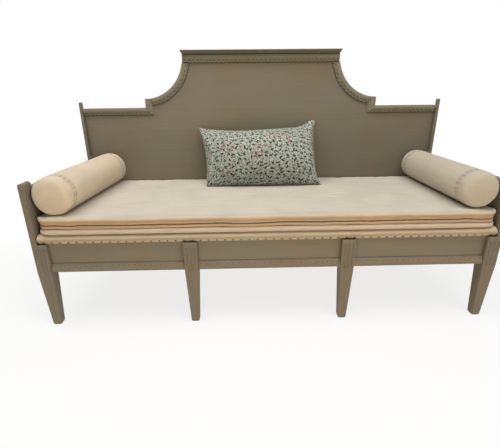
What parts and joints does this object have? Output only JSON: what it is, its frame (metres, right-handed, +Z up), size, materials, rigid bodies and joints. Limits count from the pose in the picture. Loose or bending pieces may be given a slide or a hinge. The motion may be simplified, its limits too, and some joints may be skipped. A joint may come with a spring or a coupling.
{
  "type": "gustavian sofa",
  "caption": "Painted wooden sofa with a shaped panel back, carved mouldings, low boarded arms, tapered fluted legs, a loose seat mattress, bolsters and a scatter pillow.",
  "frame": {"origin": "on the floor, under the middle of the sofa's bounding box", "axes": "+X to the right as seen from the front, -Y out of the front, +Z up"},
  "size_m": [1.828, 0.688, 1.1035],
  "materials": {
    "paint": "chalky grey-brown paint",
    "pine": "bare sawn pine",
    "deck_linen": "natural linen",
    "linen": "slubby natural linen",
    "floral": "printed cotton"
  },
  "bodies": {
    "frame": {"front_rail": "paint", "rear_rail": "paint", "back_panel": "paint", "frieze_moulding": "paint", "cornice": "paint", "centre_apron_moulding": "paint", "left_side_rail": "paint", "front_left_corner_leg": "paint", "front_left_middle_leg": "paint", "rear_left_middle_leg": "paint", "left_rear_post": "paint", "left_cove_moulding": "paint", "left_step_moulding": "paint", "left_shoulder_moulding": "paint", "left_apron_moulding": "paint", "left_end_moulding": "paint", "left_arm_panel": "paint", "left_arm_rail": "paint", "left_arm_moulding": "paint", "right_side_rail": "paint", "front_right_corner_leg": "paint", "front_right_middle_leg": "paint", "rear_right_middle_leg": "paint", "right_rear_post": "paint", "right_cove_moulding": "paint", "right_step_moulding": "paint", "right_shoulder_moulding": "paint", "right_apron_moulding": "paint", "right_end_moulding": "paint", "right_arm_panel": "paint", "right_arm_rail": "paint", "right_arm_moulding": "paint", "front_ledger": "pine", "rear_ledger": "pine", "left_stretcher": "pine", "front_left_corner_block": "pine", "rear_left_corner_block": "pine", "right_stretcher": "pine", "front_right_corner_block": "pine", "rear_right_corner_block": "pine", "seat_slat_01": "pine", "seat_slat_02": "pine", "seat_slat_03": "pine", "seat_slat_04": "pine", "seat_slat_05": "pine", "seat_slat_06": "pine", "seat_slat_07": "pine", "seat_slat_08": "pine", "seat_slat_09": "pine", "seat_slat_10": "pine", "seat_deck": "deck_linen"},
    "mattress": {"mattress": "linen"},
    "left_bolster": {"left_bolster": "linen"},
    "right_bolster": {"right_bolster": "linen"},
    "pillow": {"pillow": "floral"}
  },
  "joints": [
    {"name": "mattress_lift", "type": "slide", "parent": "frame", "child": "mattress", "axis": [0, 0, 1], "range_m": [0, 0.22]},
    {"name": "left_bolster_lift", "type": "slide", "parent": "mattress", "child": "left_bolster", "axis": [0, 0, 1], "range_m": [0, 0.2]},
    {"name": "right_bolster_lift", "type": "slide", "parent": "mattress", "child": "right_bolster", "axis": [0, 0, 1], "range_m": [0, 0.2]},
    {"name": "pillow_lift", "type": "slide", "parent": "mattress", "child": "pillow", "axis": [0, -0.5, 0.866], "range_m": [0, 0.2]}
  ]
}
